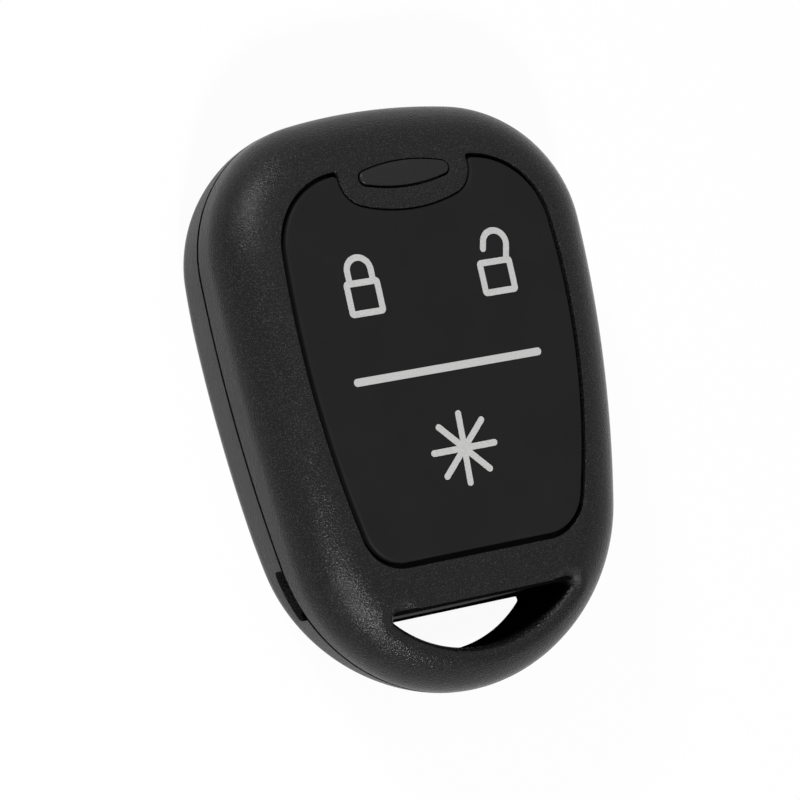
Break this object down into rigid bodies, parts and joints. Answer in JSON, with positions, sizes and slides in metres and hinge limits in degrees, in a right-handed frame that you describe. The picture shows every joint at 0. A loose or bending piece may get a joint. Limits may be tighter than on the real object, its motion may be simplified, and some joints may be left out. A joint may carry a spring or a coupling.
{
  "type": "car alarm remote",
  "caption": "Rounded key-fob radio remote with a rubber keypad for lock, unlock and star keys, a light window and a D-shaped key-ring slot.",
  "frame": {"origin": "on the flat back face, under the middle of the outline", "axes": "+X across the case, +Y towards the light window end, +Z out of the keypad face"},
  "size_m": [0.042, 0.0598, 0.0146],
  "materials": {
    "case_plastic": "fine spark-eroded grain, black",
    "keypad_rubber": "smooth matte silicone, black",
    "frame_plastic": "as moulded, light grey",
    "key_plastic": "as moulded, grey",
    "print_ink": "matte printed ink, light grey",
    "window_plastic": "smoked, polished face",
    "board_laminate": "green solder mask",
    "copper": "copper track",
    "cell_steel": "nickel-plated steel",
    "seal_nylon": "moulded nylon",
    "spring_steel": "rolled spring strip",
    "contact_bronze": "gold-flashed bronze",
    "chip_resin": "moulded resin, black",
    "tinned_legs": "tinned",
    "resonator_can": "drawn metal can",
    "lamp_resin": "clear resin over the lamp",
    "capacitor_ceramic": "fired ceramic, brown",
    "resistor_ceramic": "glazed, black",
    "switch_plastic": "moulded, black",
    "switch_steel": "stamped steel",
    "stem_plastic": "moulded, red brown"
  },
  "bodies": {
    "case": {"antenna_track": "copper", "battery_clip": "spring_steel", "capacitors": "capacitor_ceramic", "cell_can": "cell_steel", "cell_cap": "cell_steel", "cell_seal": "seal_nylon", "circuit_board": "board_laminate", "contact_spring": "contact_bronze", "controller_chip": "chip_resin", "controller_legs": "tinned_legs", "divider_line": "print_ink", "front_shell": "case_plastic", "indicator_lamp": "lamp_resin", "keypad_frame": "frame_plastic", "keypad_skin": "keypad_rubber", "light_window": "window_plastic", "lock_switch_base": "switch_plastic", "lock_switch_cover": "switch_steel", "lock_switch_dome": "switch_steel", "rear_shell": "case_plastic", "resistors": "resistor_ceramic", "resonator": "resonator_can", "star_switch_base": "switch_plastic", "star_switch_cover": "switch_steel", "star_switch_dome": "switch_steel", "transistor": "chip_resin", "unlock_switch_base": "switch_plastic", "unlock_switch_cover": "switch_steel", "unlock_switch_dome": "switch_steel"},
    "lock_key": {"lock_key": "key_plastic", "lock_icon": "print_ink"},
    "lock_stem": {"lock_switch_stem": "stem_plastic"},
    "unlock_key": {"unlock_key": "key_plastic", "unlock_icon": "print_ink"},
    "unlock_stem": {"unlock_switch_stem": "stem_plastic"},
    "star_key": {"star_key": "key_plastic", "star_icon": "print_ink"},
    "star_stem": {"star_switch_stem": "stem_plastic"}
  },
  "joints": [
    {"name": "lock_press", "type": "slide", "parent": "case", "child": "lock_key", "axis": [0, 0, -1], "range_m": [0, 0.0003], "stiffness_N_per_m": 4000, "deforming": ["keypad_skin"]},
    {"name": "unlock_press", "type": "slide", "parent": "case", "child": "unlock_key", "axis": [0, 0, -1], "range_m": [0, 0.0003], "stiffness_N_per_m": 4000, "deforming": ["keypad_skin"]},
    {"name": "star_press", "type": "slide", "parent": "case", "child": "star_key", "axis": [0, 0, -1], "range_m": [0, 0.0003], "stiffness_N_per_m": 4000, "deforming": ["keypad_skin"]},
    {"name": "lock_stem_press", "type": "slide", "parent": "case", "child": "lock_stem", "axis": [0, 0, -1], "range_m": [0, 0.0003], "deforming": ["lock_switch_dome"]},
    {"name": "unlock_stem_press", "type": "slide", "parent": "case", "child": "unlock_stem", "axis": [0, 0, -1], "range_m": [0, 0.0003], "deforming": ["unlock_switch_dome"]},
    {"name": "star_stem_press", "type": "slide", "parent": "case", "child": "star_stem", "axis": [0, 0, -1], "range_m": [0, 0.0003], "deforming": ["star_switch_dome"]}
  ],
  "couplings": [
    {"joint": "lock_stem_press", "follows": "lock_press", "ratio": 1},
    {"joint": "unlock_stem_press", "follows": "unlock_press", "ratio": 1},
    {"joint": "star_stem_press", "follows": "star_press", "ratio": 1}
  ]
}
